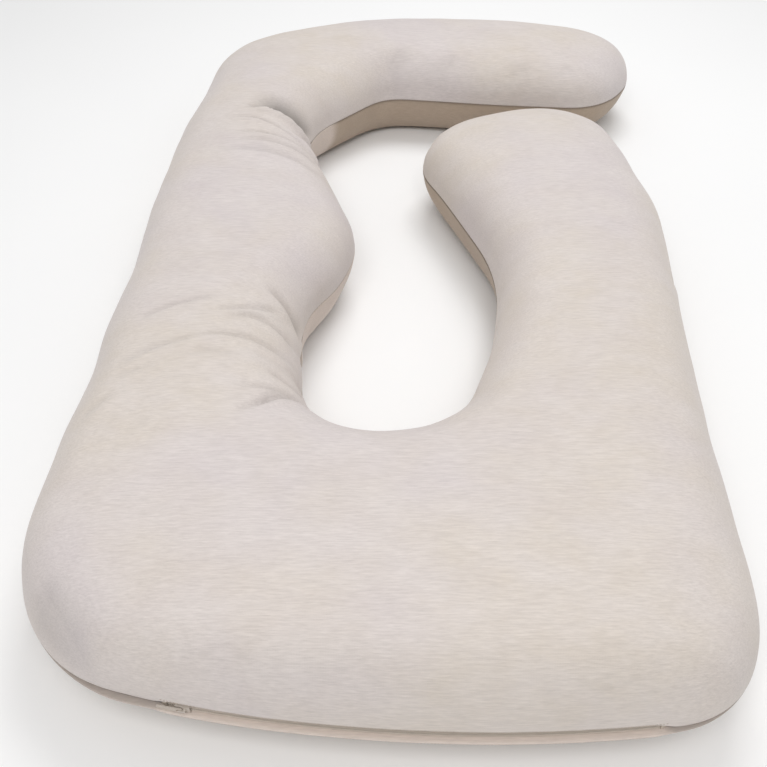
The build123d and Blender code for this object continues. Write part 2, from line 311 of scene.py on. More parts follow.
def filled_heights():
    """Height of the skin over the seam plane at every plan point, and the depth the lower skin hangs."""
    height = crown(plan)
    ring_count = RINGS * around
    last_ring = np.tile(crown(plan[ring_count - around : ring_count]), RINGS)
    share = np.repeat(ring_depths / ring_depths[-1], around)
    behind = smoothstep(*FRONT_REACH, plan[:ring_count, 1])
    power = UNDER_POWER[0] + (UNDER_POWER[1] - UNDER_POWER[0]) * behind
    drop = height.copy()
    height[:ring_count] = last_ring * rising(share, EDGE_POWER)
    drop[:ring_count] = last_ring * rising(share, power)
    hang = SAG * np.maximum(drop, 1e-5)
    hang = (hang**-FLATTENING + SEAM_Z**-FLATTENING) ** (-1 / FLATTENING)
    return height, hang


def closed_skin():
    """The whole cover: upper points first, then the lower ones inside the shared seam ring."""
    height, hang = filled_heights()
    upper = np.c_[plan, SEAM_Z + height]
    lower = np.c_[plan, SEAM_Z - hang][around:]
    shift = len(plan) - around
    faces = list(plan_faces)
    for face in plan_faces:
        faces.append(tuple(i if i < around else i + shift for i in reversed(face)))
    return np.vstack([upper, lower]), faces


def mesh_object(name, verts, faces):
    """A new mesh object from numpy points and a list of faces."""
    mesh = bpy.data.meshes.new(name)
    mesh.from_pydata([tuple(v) for v in verts], [], [tuple(f) for f in faces])
    mesh.update()
    made = bpy.data.objects.new(name, mesh)
    bpy.context.scene.collection.objects.link(made)
    return made


def vectors(mesh, what):
    """One vector for each of a mesh's points."""
    numbers = np.empty(len(mesh.vertices) * 3, np.float32)
    mesh.vertices.foreach_get(what, numbers)
    return numbers.reshape(-1, 3)


def smoothstep(low, high, value):
    """0 up to low, 1 from high on, and a smooth rise between them."""
    share = np.clip((value - low) / (high - low), 0, 1)
    return share * share * (3 - 2 * share)


def turned(points, pivot, angle):
    """Plan points turned about a pivot by an angle that may differ from point to point."""
    away = points - pivot
    c, s = np.cos(angle)[:, None], np.sin(angle)[:, None]
    return pivot + np.c_[away[:, :1] * c - away[:, 1:] * s, away[:, :1] * s + away[:, 1:] * c]


# The cloth was cut for a straighter pillow. Where the arm bends, at the neck and at the waist, its inner
# side has more cloth than room, and that is what gathers there. (pivot, direction, band, angle)
BENDS = [
    ((-0.370, 0.250), 75, (0.080, 0.320), 4),
    ((-0.390, -0.250), 90, (-0.400, -0.120), 4),
]


HEAD_ARM_Y = 0.38  # the head arm lies past this


def run_along(points, direction):
    """How far each point lies along a direction in the plan, in degrees from +X."""
    return points[:, 0] * cos(radians(direction)) + points[:, 1] * sin(radians(direction))


def on_long_arm(points, past_middle):
    """Which points belong to the left arm or to the head arm it turns into."""
    return (points[:, 0] < past_middle) | (points[:, 1] > HEAD_ARM_Y)


def as_cut(points):
    """Where the points would be on the pillow before it was bent at its neck and waist."""
    cut = points.copy()
    arm = on_long_arm(points, 0)
    for pivot, direction, band, angle in BENDS:
        weight = smoothstep(*band, run_along(points, direction)) * arm
        cut[:, :2] = turned(cut[:, :2], np.array(pivot), radians(angle) * weight)
    return cut


SIM_FRAMES = 18
BEND_FRAMES = 9
HOLD = 0.30  # how firmly the fibre behind it holds the skin where it gathers
ELSEWHERE = 0.9  # and where it doesn't
GATHER = 0.8  # share of the gathers' height that is kept
EVENING = 2  # rounds
PAST_MIDDLE = 0.04  # the gathers reach this far over the middle
BAND_FADE = 0.3  # they die away past a bend's band over this share of it
INNER_SIDE = (-0.36, -0.26)  # X over which they set in, from the arm's outer side to its inner one
OFF_FLOOR = (0.004, 0.03)
ZIP_HOLD = (-13.5, 8)  # degrees along the front between which the edge is held fast
ZIP_HOLD_Y = -0.60
ZIP_BAND = 0.022  # to each side of the seam plane
CLOTH = {
    "quality": 5,
    "mass": 0.01,
    "tension_stiffness": 18,
    "compression_stiffness": 18,
    "shear_stiffness": 4,
    "bending_stiffness": 1.5,
    "tension_damping": 4,
    "compression_damping": 4,
    "shear_damping": 2,
    "bending_damping": 0.5,
    "air_damping": 1,
    "use_pressure": True,
    "uniform_pressure_force": 100,
    "vertex_group_mass": "hold",
}


def gathered(verts, faces):
    """Bends the cut cloth round its filling: it keeps its lengths, so it buckles inside the bends."""
    cloth_object = mesh_object("cloth_work", as_cut(verts), faces)
    cloth_object.shape_key_add(name="cut")
    bent = cloth_object.shape_key_add(name="bent")
    bent.data.foreach_set("co", verts.astype(np.float32).ravel())
    for number, value in ((1, 0), (BEND_FRAMES, 1)):
        bent.value = value
        bent.keyframe_insert("value", frame=number)
    hold = cloth_object.vertex_groups.new(name="hold")
    weights = hold_weights(verts)
    for level in np.unique(weights):
        hold.add([int(i) for i in np.flatnonzero(weights == level)], float(level), "REPLACE")
    cloth = cloth_object.modifiers.new("cloth", "CLOTH")
    for name, value in CLOTH.items():
        setattr(cloth.settings, name, value)
    cloth.settings.effector_weights.gravity = 0
    cloth.collision_settings.use_collision = False
    cloth.collision_settings.use_self_collision = False
    cloth.point_cache.frame_start = 1
    cloth.point_cache.frame_end = SIM_FRAMES
    scene = bpy.context.scene
    for number in range(1, SIM_FRAMES + 1):
        scene.frame_set(number)
    shaped = cloth_object.evaluated_get(bpy.context.evaluated_depsgraph_get())
    shape = vectors(shaped.data, "co")
    scene.frame_set(1)
    motion = cloth_object.data.shape_keys.animation_data.action
    bpy.data.objects.remove(cloth_object)
    bpy.data.actions.remove(motion)
    return verts + GATHER * evened(shape.astype(float) - verts, faces, EVENING)


def sides_of(faces):
    """The two points of each face's every side."""
    return np.array([pair for face in faces for pair in zip(face, face[1:] + face[:1])])


def evened(field, faces, rounds):
    """A field on the mesh's points, averaged with its neighbours."""
    sides = sides_of(faces)
    count = np.bincount(sides[:, 0], minlength=len(field))[:, None]
    for _ in range(rounds):
        near = np.stack([np.bincount(sides[:, 0], field[sides[:, 1], k], len(field)) for k in range(3)], 1)
        field = (field + near / count) / 2
    return field


def gather_zone(verts):
    """1 where a bend gathers the cloth, falling to 0 away from it and on the floor side."""
    zone = np.zeros(len(verts))
    for _, direction, band, _ in BENDS:
        along = run_along(verts, direction)
        fade = BAND_FADE * (band[1] - band[0])
        starts = smoothstep(band[0] - fade, band[0], along)
        ends = smoothstep(band[1], band[1] + fade, along)
        zone = np.maximum(zone, starts * (1 - ends))
    inner_side = smoothstep(*INNER_SIDE, verts[:, 0])
    return zone * on_long_arm(verts, PAST_MIDDLE) * inner_side * smoothstep(*OFF_FLOOR, verts[:, 2])


def hold_weights(verts):
    """How firmly each point is held, in a few steps: loosely where the cloth gathers."""
    angle = np.degrees(front_angle(verts[:, :2]))
    by_zip = (angle > ZIP_HOLD[0]) & (angle < ZIP_HOLD[1]) & (verts[:, 1] < ZIP_HOLD_Y)
    by_zip &= np.abs(verts[:, 2] - SEAM_Z) < ZIP_BAND
    loose = np.where(by_zip, 1.0, np.minimum(HOLD ** gather_zone(verts), ELSEWHERE))
    return np.round(loose, 3)


skin_verts, skin_faces = closed_skin()
settled = gathered(skin_verts, skin_faces)


# ---- folds and lumps that the hand of whoever stuffed it left ----
MM = 0.001
# Each fold runs from its start past a middle to its end, in the plan. Then come its depth, the width of
# its slope on the right of the way it runs, and of its steeper slope on the left. All in mm.
FOLDS = [
    # the neck's inner corner, fanning out over the arm
    ((-126, 260), (-180, 286), (-254, 281), 25, 22, 5),
    ((-120, 206), (-146, 234), (-174, 244), 15, 12, 4.5),
    ((-104, 306), (-124, 322), (-152, 332), 9, 10, 7),
    ((-200, 270), (-226, 286), (-270, 300), 4.4, 5.5, 4),
    ((-148, 208), (-232, 260), (-278, 251), 6.4, 6, 4),
    ((-140, 188), (-210, 208), (-268, 203), 5.4, 6, 4),
    ((-132, 162), (-182, 186), (-284, 180), 4.4, 7.5, 4.5),
    ((-124, 120), (-190, 165), (-296, 148), 3.8, 10, 6),
    # the waist, from the inner edge towards the outer
    ((-129, -198), (-153, -158), (-184, -150), 6, 8.2, 4.5),
    ((-158, -184), (-204, -204), (-242, -206), 4.2, 4.9, 3.6),
    ((-230, -184), (-306, -193), (-328, -228), 3.4, 5.2, 4),
    ((-140, -226), (-184, -194), (-230, -228), 4.7, 6, 3.6),
    ((-136, -259), (-226, -236), (-256, -257), 4.8, 6, 4),
    ((-245, -255), (-300, -262), (-338, -300), 3.2, 6.8, 4.5),
    ((-290, -296), (-315, -304), (-334, -316), 1.7, 5.2, 4.5),
    ((-200, -283), (-236, -270), (-268, -287), 1.9, 6, 5),
    ((-120, -308), (-146, -304), (-168, -291), 4.2, 5.2, 3.6),
    ((-116, -328), (-162, -327), (-198, -333), 5.1, 6, 3.6),
    ((-112, -340), (-150, -328), (-174, -372), 6, 7.5, 4),
    ((-148, -346), (-170, -359), (-200, -377), 3.7, 5.2, 4),
    ((-322, -334), (-345, -353), (-362, -378), 1.7, 6, 5.4),
    # slack at the base's left corner, along the head arm's inner edge and on the short arm's outer side
    ((-356, -556), (-322, -612), (-282, -642), 4, 24, 16),
    ((-30, 462), (-10, 480), (4, 512), 2.6, 17, 13),
    ((50, 456), (76, 474), (92, 494), 1.8, 14, 10),
    ((176, 446), (200, 456), (226, 458), 1.4, 9, 7),
    ((262, 446), (280, 456), (296, 456), 1.2, 8, 6),
    ((388, -330), (366, -340), (345, -332), 3, 9, 6),
    ((392, -375), (370, -380), (350, -370), 3.2, 9, 6),
    ((375, -100), (350, -108), (330, -98), 2.6, 9, 6),
    ((10, 262), (34, 250), (60, 256), 2.4, 9, 7),
]
SEAM_SHADE = 0.65  # painted shade: the lower panel's colour is darkened where it tucks in under the upper one
SEAM_SHADE_HEIGHT = 0.0028
STRIP_HEIGHTS = (0.040, 0.058)  # painted light: the lower panel is painted paler between these, towards the zip, where light reaches it
STRIP_REACH = (-0.42, -0.54)
# It is painted as pale where it rolls up into view, at the waist's inner side and in the neck's inner
# corner, and has no painted seam shade there: (place, distances from there between which it turns darker)
FLANKS = [
    ((-0.15, -0.12), (0.19, 0.23)),
    ((-0.152, 0.342), (0.034, 0.058)),
]
FOLD_STEPS = 14
FOLD_REACH = 4  # widths from a fold within which it counts
FOLD_STARTS = (-0.04, 0.18)  # shares of its run over which it deepens
FOLD_FADES = (0.55, 1.0)  # and over which it dies away
DEEPEST = 25.0  # mm
CREASE_WIDTHS = (0.525, 0.6)  # of the groove's own: the least, and what the deepest adds
CREASE_POWER = 0.95
CREASE_SHIFT = 0.4  # how far up the gentle slope the shade lies, as a share of its width
RIDGE_SHARE = 0.35  # height of the ridge beside a fold's steep slope, as a share of its depth
RIDGE_PLACE = 2.2  # widths of that slope away from the fold's floor
RIDGE_WIDTH = 1.6
SEAM_REACH = (0.003, 0.024)  # from the seam plane; folds and lumps set in between these
FLOOR_REACH = (0.002, 0.030)  # and lumps on the floor side between these heights
LUMPS = [(0.130, 2.6), (0.050, 1.0)]  # (size, height in mm) of the filling's unevenness


def fold_line(start, middle, end):
    """Points along a fold."""
    t = np.linspace(0, 1, FOLD_STEPS)[:, None]
    curve = (1 - t) ** 2 * np.array(start) + 2 * t * (1 - t) * np.array(middle) + t**2 * np.array(end)
    return curve * MM


def folded(places):
    """How far the folds press each point in or push it out, along its normal, and how much painted shade
    each gets in a fold's crease.
    """
    push = np.zeros(len(places))
    crease = np.zeros(len(places))
    for start, middle, end, depth, right, left in FOLDS:
        line = fold_line(start, middle, end)
        reach = FOLD_REACH * max(left, right) * MM
        near = np.flatnonzero(((places > line.min(0) - reach) & (places < line.max(0) + reach)).all(1))
        best = np.full(len(near), FAR)
        side = np.zeros(len(near))
        way = np.zeros(len(near))
        for step in range(FOLD_STEPS - 1):
            from_here = places[near] - line[step]
            run = line[step + 1] - line[step]
            length = np.linalg.norm(run)
            along = np.clip(from_here @ run / length**2, 0, 1)
            off = from_here - along[:, None] * run
            gap = np.linalg.norm(off, axis=1)
            closer = gap < best
            best = np.where(closer, gap, best)
            cross = run[0] * off[:, 1] - run[1] * off[:, 0]
            side = np.where(closer, np.sign(cross), side)
            way = np.where(closer, (step + along) / (FOLD_STEPS - 1), way)
        width = np.where(side > 0, left, right) * MM
        groove = -np.exp(-((best / width) ** 2))
        ridge = RIDGE_SHARE * np.exp(-((best * side / (left * MM) - RIDGE_PLACE) ** 2) / RIDGE_WIDTH)
        fade = smoothstep(*FOLD_STARTS, way) * (1 - smoothstep(*FOLD_FADES, way))
        push[near] += depth * MM * (groove + ridge) * fade
        share = (depth / DEEPEST) ** CREASE_POWER
        wide = width * (CREASE_WIDTHS[0] + CREASE_WIDTHS[1] * share)
        from_floor = best - np.where(side > 0, 0, CREASE_SHIFT * right * MM)
        crease[near] += share * np.exp(-((from_floor / wide) ** 2)) * fade
    return push, crease


def lumpy(verts):
    """The filling's own unevenness."""
    push = np.zeros(len(verts))
    for size, height in LUMPS:
        push += [height * MM * noise.noise(Vector(v) / size) for v in verts]
    return push


def on_flank(verts):
    """1 where the lower panel rolls up into view, 0 elsewhere."""
    away = [smoothstep(*reach, np.linalg.norm(verts[:, :2] - place, axis=1)) for place, reach in FLANKS]
    return 1 - np.min(away, axis=0)


def hand_push(verts, side):
    """How far the folds and lumps move each point out along its normal, and how much painted shade each
    gets: in the folds' creases on the upper panel, under the seam on the lower one. The seam and the floor
    side are left alone."""
    seam = smoothstep(*SEAM_REACH, np.abs(verts[:, 2] - SEAM_Z))
    push = lumpy(verts) * seam
    if side > 0:
        pressed, crease = folded(verts[:, :2])
        return push + pressed * seam, crease * seam
    seam_painted_shade = np.exp(-(((verts[:, 2] - SEAM_Z) / SEAM_SHADE_HEIGHT) ** 2))
    return push * smoothstep(*FLOOR_REACH, verts[:, 2]), SEAM_SHADE * seam_painted_shade * (1 - on_flank(verts))


# ---- the two panels, parted at the seam ----
SEAM_GAP = 0.0001
LIP_GAP = {1: 0.0062, -1: 0.0050}  # from the seam plane to the upper and the lower lip along the zip
LIP_END = 0.45  # degrees over which the lips close at the zip's ends
LIP_BACK = 0.0010  # the upper lip stands this far back along the zip, so that the coils show
LOWER_LIP_OUT = 0.0032  # and the lower one this far out, from the left corner on
LOWER_LIP_STARTS = (-16.5, -12.5)  # degrees between which it comes out, and between which it goes back
LOWER_LIP_ENDS = (6.0, 9.0)
CORNER_BACK = 0.0024  # the upper lip stands back at the zip's left end, and the lips part a little
CORNER_GAP = 0.0013
CORNER_PLACE = -12.6  # degrees, and how far that reaches to each side
CORNER_REACH = 1.9
TAPE_COVER_DEPTH = 0.0012  # the lower panel lies no deeper than this in front of its tape
TAPE_COVER_HEIGHTS = (-0.031, -0.017)  # from the seam; it comes back to its own shape between these
TAPE_COVER_MARGIN = 0.7  # degrees past the tape's ends
FRONT_Y = -0.5  # the front edge lies before this
PUCKER_SIZE = 0.014
# The panel's edge turns in at the seam, ring by ring: (depth, pucker, height over the lip, share of the
# lip's own shift)
LIP_RINGS = [
    (-0.0004, 0.0003, 0.0028, 1.0),
    (-0.0005, 0.0002, 0.0009, 1.0),
    (0.0003, 0, 0.0001, 1.0),
    (0.0016, 0, 0.0000, 0.8),
    (0.0034, 0, 0.0002, 0.0),
]
SHIFT_FOLLOWED = (0.7, 0.3)  # the next two rings follow the lip's shift by these shares
FIRST_RING_PUCKER = 0.0006
FIRST_RING_HEIGHT = 0.0055  # over the lip, at least
zip_angles = np.degrees(front_angle(np.array([[tape_low.x, tape_high.y], [tape_high.x, tape_low.y]])))


def along_zip(xy, margin=0.0):
    """1 along the zip, 0 beyond its ends."""
    angle = np.degrees(front_angle(xy))
    opens = smoothstep(zip_angles[0] - margin - LIP_END, zip_angles[0] - margin + LIP_END, angle)
    closes = smoothstep(zip_angles[1] + margin - LIP_END, zip_angles[1] + margin + LIP_END, angle)
    return opens * (1 - closes) * (xy[:, 1] < FRONT_Y)


def at_corner(xy):
    """1 at the zip's left end, where the lips part, falling to 0 to both sides of it."""
    angle = np.degrees(front_angle(xy))
    return np.exp(-(((angle - CORNER_PLACE) / CORNER_REACH) ** 2)) * (xy[:, 1] < FRONT_Y)


def puckers(xy):
    """The small gathers that sewing leaves along the seam."""
    return np.array([noise.noise(Vector((x, y, 0)) / PUCKER_SIZE) for x, y in xy])


def lip(side, plain):
    """How far out a panel's lip stands along its edge, and how far it opens from the seam plane."""
    zipped = along_zip(plain)
    loose = at_corner(plain)
    opening = np.maximum(SEAM_GAP + (LIP_GAP[side] - SEAM_GAP) * zipped, CORNER_GAP * loose)
    if side > 0:
        return -CORNER_BACK * loose - LIP_BACK * zipped * (1 - loose), opening
    angle = np.degrees(front_angle(plain))
    comes_out = smoothstep(*LOWER_LIP_STARTS, angle) * (1 - smoothstep(*LOWER_LIP_ENDS, angle))
    return LOWER_LIP_OUT * comes_out * (plain[:, 1] < FRONT_Y), opening


def panel(side):
    """Verts and faces of one panel, 1 for upper and -1 for lower, its edge folded in at the seam."""
    count = len(plan)
    if side > 0:
        verts = settled[:count].copy()
        faces = list(plan_faces)
    else:
        verts = np.vstack([settled[:around], settled[count:]])
        faces = [tuple(reversed(face)) for face in plan_faces]
    edge = verts[:around].copy()
    plain = edge[:, :2].copy()
    normals = inward(plain)
    out, opening = lip(side, plain)
    pucker = puckers(plain)

    def edge_ring(depth, wave, rise, share):
        ring = edge.copy()
        ring[:, :2] += normals * (depth + wave * pucker - out * share)[:, None]
        ring[:, 2] = SEAM_Z + side * (opening + rise)
        return ring

    first_ring = verts[around : 2 * around]
    first_ring[:, :2] -= normals * (out * SHIFT_FOLLOWED[0] + FIRST_RING_PUCKER * pucker)[:, None]
    lifted = np.maximum((first_ring[:, 2] - SEAM_Z) * side, opening + FIRST_RING_HEIGHT)
    first_ring[:, 2] = SEAM_Z + side * lifted
    if side < 0:
        over_tape = along_zip(plain, TAPE_COVER_MARGIN)
        for number in range(2, RINGS):
            ring = verts[number * around : (number + 1) * around]
            near = smoothstep(*TAPE_COVER_HEIGHTS, ring[:, 2] - SEAM_Z) * over_tape
            ring[:, :2] -= normals * (near * max(ring_depths[number] - TAPE_COVER_DEPTH, 0))[:, None]
    verts[2 * around : 3 * around, :2] -= normals * (out * SHIFT_FOLLOWED[1])[:, None]
    rings = [edge_ring(*numbers) for numbers in LIP_RINGS]
    verts[:around] = rings[0]
    outer = np.arange(around)
    for ring in rings[1:]:
        first = len(verts)
        verts = np.vstack([verts, ring])
        for i in range(around):
            j = (i + 1) % around
            face = (outer[i], first + i, first + j, outer[j])
            faces.append(face if side > 0 else tuple(reversed(face)))
        outer = np.arange(first, first + around)
    return verts, faces


def finished(name, verts, faces, side):
    """A smooth subdivided panel, shaped by hand, with each point's place and its shares of painted shade
    and painted light kept for its material.
    """
    rough = mesh_object(name + "_rough", verts, faces)
    subdivision = rough.modifiers.new("subdivision", "SUBSURF")
    subdivision.levels = 1
    fine = bpy.data.meshes.new_from_object(rough.evaluated_get(bpy.context.evaluated_depsgraph_get()))
    bpy.data.objects.remove(rough)
    fine.name = name
    made = bpy.data.objects.new(name, fine)
    bpy.context.scene.collection.objects.link(made)
    moved = vectors(fine, "co").astype(float)
    normals = vectors(fine, "normal")
    push, crease = hand_push(moved, side)
    moved += normals * push[:, None]
    moved[:, 2] = np.maximum(moved[:, 2], 0)
    fine.vertices.foreach_set("co", moved.astype(np.float32).ravel())
    fine.update()
    keep_places(made)
    # painted light: the lower panel's colour is lifted where light would fall, near the zip and on its
    # flanks
    painted_light_strip = smoothstep(*STRIP_HEIGHTS, moved[:, 2]) * smoothstep(*STRIP_REACH, moved[:, 1])
    painted_light_strip = np.maximum(painted_light_strip, on_flank(moved)) * (side < 0)
    for share_name, share in (("crease_painted_shade", np.clip(crease, 0, 1)), ("painted_light_share", painted_light_strip)):
        attribute = fine.attributes.new(share_name, "FLOAT", "POINT")
        attribute.data.foreach_set("value", share.astype(np.float32))
    fine.shade_smooth()
    return made


def keep_places(piece):
    """Stores each point's place at rest, so that a pattern stays on the cloth when it moves."""
    places = vectors(piece.data, "co")
    attribute = piece.data.attributes.new("cloth_place", "FLOAT_VECTOR", "POINT")
    attribute.data.foreach_set("vector", places.ravel())


cover_top = finished("cover_top", *panel(1), 1)
cover_bottom = finished("cover_bottom", *panel(-1), -1)


# ---- inner casing and filling ----
CASING_INSET = 0.0060
FILL_INSET = 0.0095
INNER_LIFT = 0.7  # how far off the floor the inner skins stay, as a share of their inset
ZIP_ROOM = 0.004  # how much further in they lie behind the zip
ZIP_ROOM_MARGIN = 2.0  # degrees past its ends


def point_normals(verts, faces):
    """Outward normals of the closed skin's points."""
    work = bpy.data.meshes.new("work")
    work.from_pydata([tuple(v) for v in verts], [], faces)
    work.update()
    normals = vectors(work, "normal")
    bpy.data.meshes.remove(work)
    return normals.astype(float)


def lowest_near(values, faces):
    """Each point's value, or a neighbour's where that is lower."""
    sides = sides_of(faces)
    lowest = values.copy()
    np.minimum.at(lowest, sides[:, 0], values[sides[:, 1]])
    return lowest


skin_normals = point_normals(settled, skin_faces)
skin_push = np.where(settled[:, 2] >= SEAM_Z, hand_push(settled, 1)[0], hand_push(settled, -1)[0])
inner_push = lowest_near(skin_push, skin_faces)


def inner_skin(inset):
    """The closed skin drawn in by an inset, under the cover's folds and off its floor side."""
    drawn = settled + skin_normals * (inner_push - inset)[:, None]
    drawn[:, 2] = np.maximum(drawn[:, 2], inset * INNER_LIFT)
    zip_room = along_zip(settled[:, :2], ZIP_ROOM_MARGIN) * (np.abs(settled[:, 2] - SEAM_Z) < ZIP_BAND)
    return drawn - skin_normals * (zip_room * ZIP_ROOM)[:, None]


def part_of(verts, faces):
    """Only the verts that the faces use, renumbered."""
    used = sorted({i for face in faces for i in face})
    place = {old: new for new, old in enumerate(used)}
    return verts[used], [tuple(place[i] for i in face) for face in faces]


casing_skin = inner_skin(CASING_INSET)
upper_faces = skin_faces[: len(plan_faces)]
lower_faces = skin_faces[len(plan_faces) :]
casing_top = mesh_object("casing_top", *part_of(casing_skin, upper_faces))
casing_bottom = mesh_object("casing_bottom", *part_of(casing_skin, lower_faces))
fill = mesh_object("fibre_fill", inner_skin(FILL_INSET), skin_faces)
for piece in (casing_top, casing_bottom, fill):
    keep_places(piece)
    piece.data.shade_smooth()


# ---- small sewn and moulded pieces ----
def tube(points, radii, sides=6, closed=False):
    """Verts and faces of a tube along points, which may close on itself."""
    points = np.asarray(points, float)
    radii = np.broadcast_to(np.asarray(radii, float), len(points))
    if closed:
        along = np.roll(points, -1, 0) - np.roll(points, 1, 0)
    else:
        along = np.gradient(points, axis=0)
    along /= np.linalg.norm(along, axis=1)[:, None]
    up = np.tile([0.0, 0.0, 1.0], (len(points), 1))
    steep = np.abs(along[:, 2]) > 0.9
    up[steep] = [1.0, 0.0, 0.0]
    across = np.cross(along, up)
    across /= np.linalg.norm(across, axis=1)[:, None]
    up = np.cross(across, along)
    turn = np.arange(sides) * 2 * pi / sides
    cosine, sine = np.cos(turn)[None, :, None], np.sin(turn)[None, :, None]
    ring = cosine * up[:, None, :] + sine * across[:, None, :]
    verts = (points[:, None, :] + ring * radii[:, None, None]).reshape(-1, 3)
    faces = []
    spans = len(points) if closed else len(points) - 1
    for i in range(spans):
        n = (i + 1) % len(points)
        for k in range(sides):
            m = (k + 1) % sides
            faces.append((i * sides + k, i * sides + m, n * sides + m, n * sides + k))
    if not closed:
        faces.append(tuple(reversed(range(sides))))
        faces.append(tuple(range((len(points) - 1) * sides, len(points) * sides)))
    return verts, faces


def gathered_up(name, parts):
    """One mesh object from many verts-and-faces pairs."""
    verts, faces, first = [], [], 0
    for part_verts, part_faces in parts:
        verts.append(part_verts)
        faces += [tuple(first + i for i in face) for face in part_faces]
        first += len(part_verts)
    made = mesh_object(name, np.vstack(verts), faces)
    made.data.shade_smooth()
    keep_places(made)
    return made


def at_front(angle, depth, height):
    """A point by the front seam: degrees along it, depth in from the cover, height over the seam plane."""
    reach = FRONT_RADIUS - depth
    turn = np.radians(angle)
    x = FRONT_CENTRE[0] + reach * np.sin(turn)
    y = FRONT_CENTRE[1] - reach * np.cos(turn)
    return np.stack(np.broadcast_arrays(x, y, SEAM_Z + height), -1)


FRONT_RADIUS = FRONT_CENTRE[1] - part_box("cover_bottom_panel")[0].y
COIL_PITCH = 0.0016
COIL_WIRE = 0.00036
COIL_SPAN = (0.00030, 0.0034)  # from the seam plane to a coil's inner and outer side
COIL_DEPTHS = (0.0014, 0.0028)
COIL_STEPS = 9  # points in one turn


def angles_of(node):
    """The degrees along the front seam that a node of the zip covers."""
    low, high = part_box(node)
    return (
        degrees(asin((low.x - FRONT_CENTRE[0]) / FRONT_RADIUS)),
        degrees(asin((high.x - FRONT_CENTRE[0]) / FRONT_RADIUS)),
    )


def coil(name, node, side):
    """One side of the zip: a wire coiled along the tape's edge, its turns set between the other side's."""
    start, end = angles_of(node)
    turns = int(radians(end - start) * FRONT_RADIUS / COIL_PITCH)
    step = np.arange(turns * COIL_STEPS + 1)
    turn = step / COIL_STEPS * 2 * pi
    offset = 0.0 if side > 0 else COIL_PITCH / 2
    angle = start + np.degrees((step / COIL_STEPS * COIL_PITCH + offset) / FRONT_RADIUS)
    middle = (COIL_SPAN[0] + COIL_SPAN[1]) / 2
    half = (COIL_SPAN[1] - COIL_SPAN[0]) / 2 - COIL_WIRE
    thick = (COIL_DEPTHS[1] - COIL_DEPTHS[0]) / 2 - COIL_WIRE
    height = side * (middle + half * np.cos(turn))
    depth = sum(COIL_DEPTHS) / 2 + thick * np.sin(turn)
    return gathered_up(name, [tube(at_front(angle, depth, height), COIL_WIRE, 5)])


zip_upper_coil = coil("zip_upper_teeth", "zip_upper_coil", 1)
zip_lower_coil = coil("zip_lower_teeth", "zip_lower_coil", -1)

STITCH_PITCH = 0.0031
STITCH_LENGTH = 0.0025
STITCH_RADIUS = 0.00032
STITCH_TAPER = np.array([0.35, 0.9, 1.0, 0.9, 0.35])
STITCH_SINK = np.array([0.00035, 0.0, -0.00012, 0.0, 0.00035])
STITCH_LIFT = 0.4  # of its radius, that a stitch stands off the cloth
PROBE = 0.05  # from outside the cover to inside it


def surface_tree(piece):
    """A tree to find where a ray meets a piece."""
    mesh = piece.data
    return BVHTree.FromPolygons([v.co[:] for v in mesh.vertices], [p.vertices[:] for p in mesh.polygons])


def on_surface(tree, angle, height):
    """Where a panel's face is, in front of a place on the front seam, and the way out of it."""
    outside = Vector(at_front(angle, -PROBE, height))
    inner = Vector(at_front(angle, PROBE, height))
    way = (inner - outside).normalized()
    place, normal, _, _ = tree.ray_cast(outside, way)
    return np.array(place), np.array(normal if normal.dot(way) < 0 else -normal)


def stitch_row(name, panel_piece, start, end, height):
    """A row of single stitches that lie on a panel along the zip, each sunk in the cloth at its ends."""
    tree = surface_tree(panel_piece)
    count = int(radians(end - start) * FRONT_RADIUS / STITCH_PITCH)
    parts = []
    half = degrees(STITCH_LENGTH / 2 / FRONT_RADIUS)
    for number in range(count):
        middle = start + degrees((number + 0.5) * STITCH_PITCH / FRONT_RADIUS)
        line = []
        for share, sink in zip(np.linspace(-1, 1, len(STITCH_SINK)), STITCH_SINK):
            place, normal = on_surface(tree, middle + share * half, height)
            line.append(place - normal * (sink - STITCH_RADIUS * STITCH_LIFT))
        parts.append(tube(line, STITCH_RADIUS * STITCH_TAPER, 6))
    return gathered_up(name, parts)


stitch_low, stitch_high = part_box("zip_upper_stitching")
STITCH_HEIGHT = (stitch_low.z + stitch_high.z) / 2 - SEAM_Z
zip_start, zip_end = angles_of("zip_upper_stitching")
upper_stitches = stitch_row("zip_upper_topstitches", cover_top, zip_start, zip_end, STITCH_HEIGHT)
lower_stitches = stitch_row("zip_lower_topstitches", cover_bottom, zip_start, zip_end, -STITCH_HEIGHT)

SEAM_THREAD_DEPTH = 0.0003
BEHIND_TAPES = (0.0051, 2.4)  # how much further in it lies along the zip, and the degrees past its ends
BEHIND_LIPS = 0.0036  # and where the lips part at the corner
CASING_RIDGE = 0.0008  # how far the casing's thread stands out of its edge
CASING_BEHIND_ZIP = (0.0080, 2.0)


def edge_thread(name, spacing, depth, wave, radius):
    """A thread all round the seam plane. depth tells how far in it lies at points of the plan."""
    plain = resample(outline, spacing)
    sway = wave * np.where(np.arange(len(plain)) % 2, 1, -1)
    line = np.c_[plain + inward(plain) * depth(plain)[:, None], SEAM_Z + sway]
    return gathered_up(name, [tube(line, radius, 5, closed=True)])


def in_crease(plain):
    """The cover's thread lies in the crease between the panels, and behind the tapes along the zip."""
    further, margin = BEHIND_TAPES
    behind = np.maximum(further * along_zip(plain, margin), BEHIND_LIPS * at_corner(plain))
    return SEAM_THREAD_DEPTH + behind


def on_casing(plain):
    """The casing's thread is a ridge round its edge, drawn in behind the zip."""
    further, margin = CASING_BEHIND_ZIP
    return CASING_INSET - CASING_RIDGE + further * along_zip(plain, margin)


cover_seam = edge_thread("cover_seam_thread", 0.0022, in_crease, wave=0.0003, radius=0.0005)
casing_seam_piece = edge_thread("casing_seam_thread", 0.0030, on_casing, wave=0, radius=0.0006)

# ---- materials ----
NOISE_RANGE = (0.3, 0.7)  # nearly all of a noise lies between these


